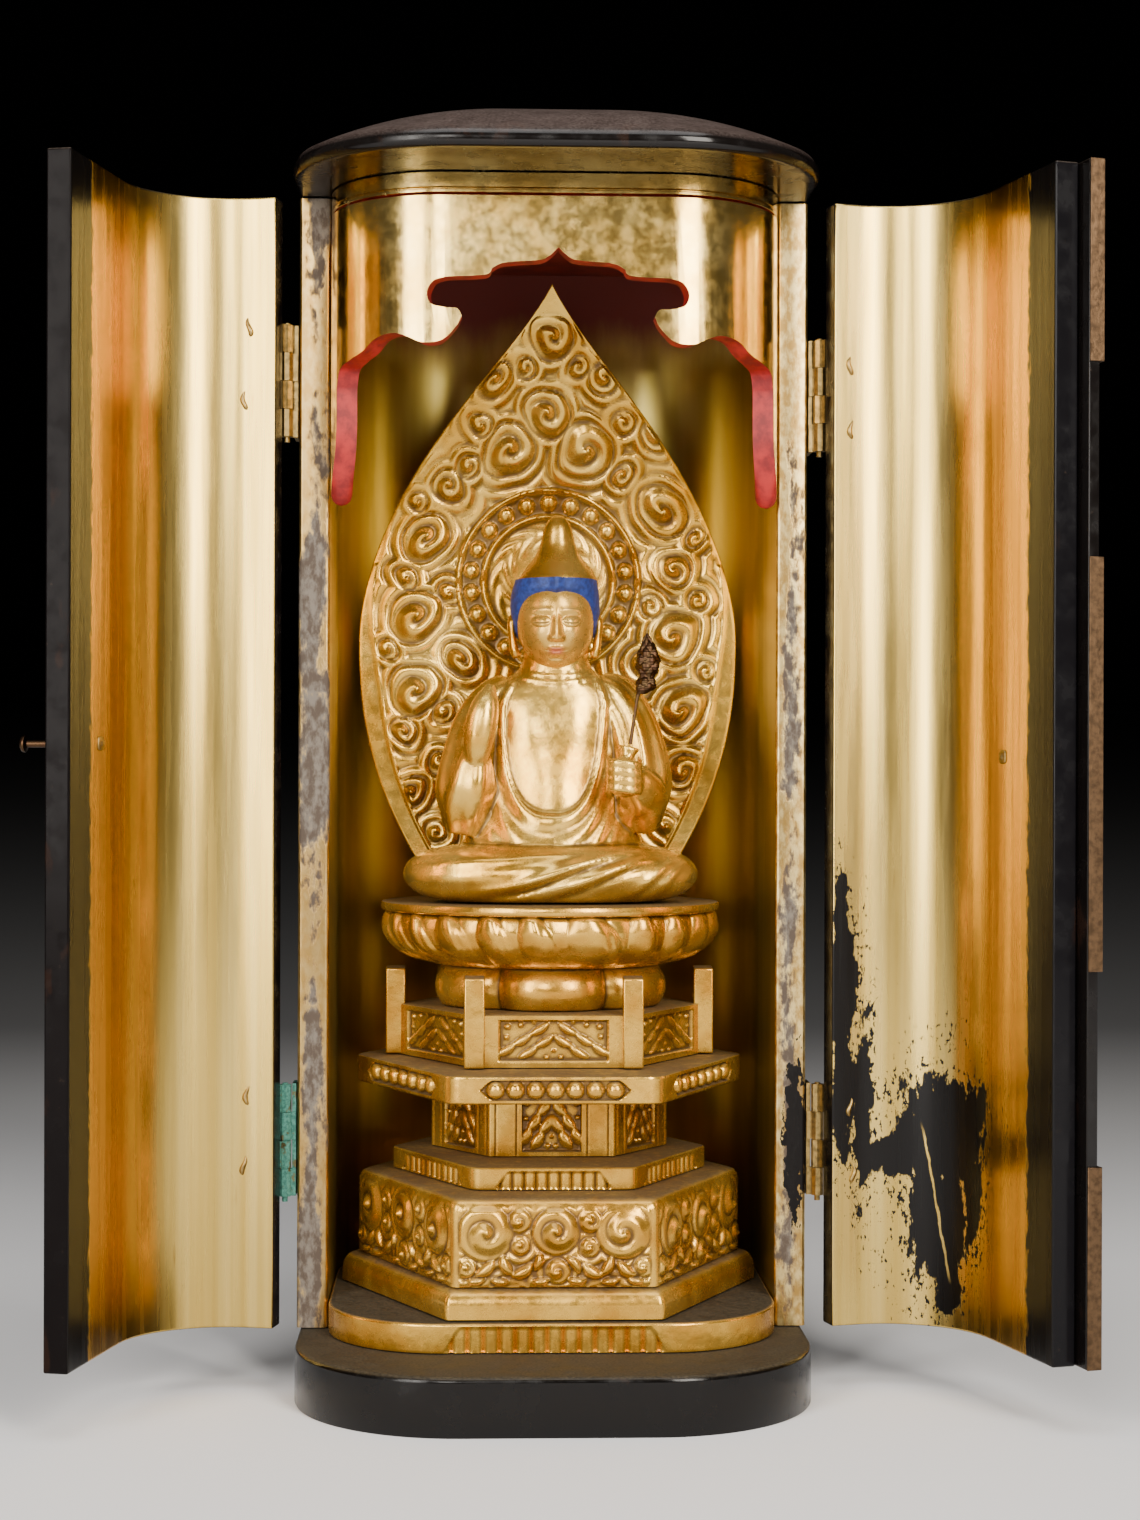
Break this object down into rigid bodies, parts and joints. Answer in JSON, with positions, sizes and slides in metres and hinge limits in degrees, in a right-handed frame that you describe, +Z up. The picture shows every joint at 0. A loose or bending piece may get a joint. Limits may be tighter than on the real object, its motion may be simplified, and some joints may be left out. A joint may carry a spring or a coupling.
{
  "type": "lacquered shrine",
  "caption": "Round-cornered lacquered shrine with a swelling roof and curved hinged doors, open on a gilt figure that sits on a lotus and a stepped pedestal before a carved mandorla.",
  "frame": {"origin": "on the floor under the plinth, at the middle of the width, in the plane of the case's front edges and of the door hinges", "axes": "+Z up; +Y away from the viewer, towards the back of the case; +X to the viewer's right. The doors stand open at rest"},
  "size_m": [0.2373, 0.1319, 0.2982],
  "materials": {
    "black_lacquer": "worn black lacquer over wood, dusty on top",
    "gilding": "aged gold leaf over lacquered wood",
    "brass": "dull brass with green tarnish",
    "copper": "brown copper sheet",
    "dark_bronze": "dark bronze"
  },
  "bodies": {
    "case": {"plinth": "black_lacquer", "step": "gilding", "case_shell": "black_lacquer", "head_board": "gilding", "roof": "black_lacquer", "valance": "gilding", "pedestal_foot": "gilding", "cloud_block": "gilding", "ribbed_tier": "gilding", "waist": "gilding", "pearl_board": "gilding", "railed_box": "gilding", "lobed_drum": "gilding", "lotus_seat": "gilding", "figure": "gilding", "flame_bud": "dark_bronze", "mandorla": "gilding", "hinge_left_upper_case_leaf": "brass", "hinge_left_upper_pin": "brass", "hinge_left_lower_case_leaf": "brass", "hinge_left_lower_pin": "brass", "hinge_right_upper_case_leaf": "brass", "hinge_right_upper_pin": "brass", "hinge_right_lower_case_leaf": "brass", "hinge_right_lower_pin": "brass"},
    "left_door": {"left_door": "black_lacquer", "latch_stud": "dark_bronze", "hinge_left_upper_door_leaf": "brass", "hinge_left_lower_door_leaf": "brass"},
    "right_door": {"right_door": "black_lacquer", "meeting_strip": "black_lacquer", "strip_fitting_top": "copper", "strip_fitting_middle": "copper", "strip_fitting_bottom": "copper", "boss_upper": "dark_bronze", "boss_lower": "dark_bronze", "hinge_right_upper_door_leaf": "brass", "hinge_right_lower_door_leaf": "brass"}
  },
  "joints": [
    {"name": "left_door_hinge", "type": "hinge", "parent": "case", "child": "left_door", "pos_m": [-0.0628, 0, 0.146], "axis": [0, 0, 1], "range_deg": [-72, 102.6]},
    {"name": "right_door_hinge", "type": "hinge", "parent": "case", "child": "right_door", "pos_m": [0.0628, 0, 0.146], "axis": [0, 0, 1], "range_deg": [-105, 70]}
  ]
}
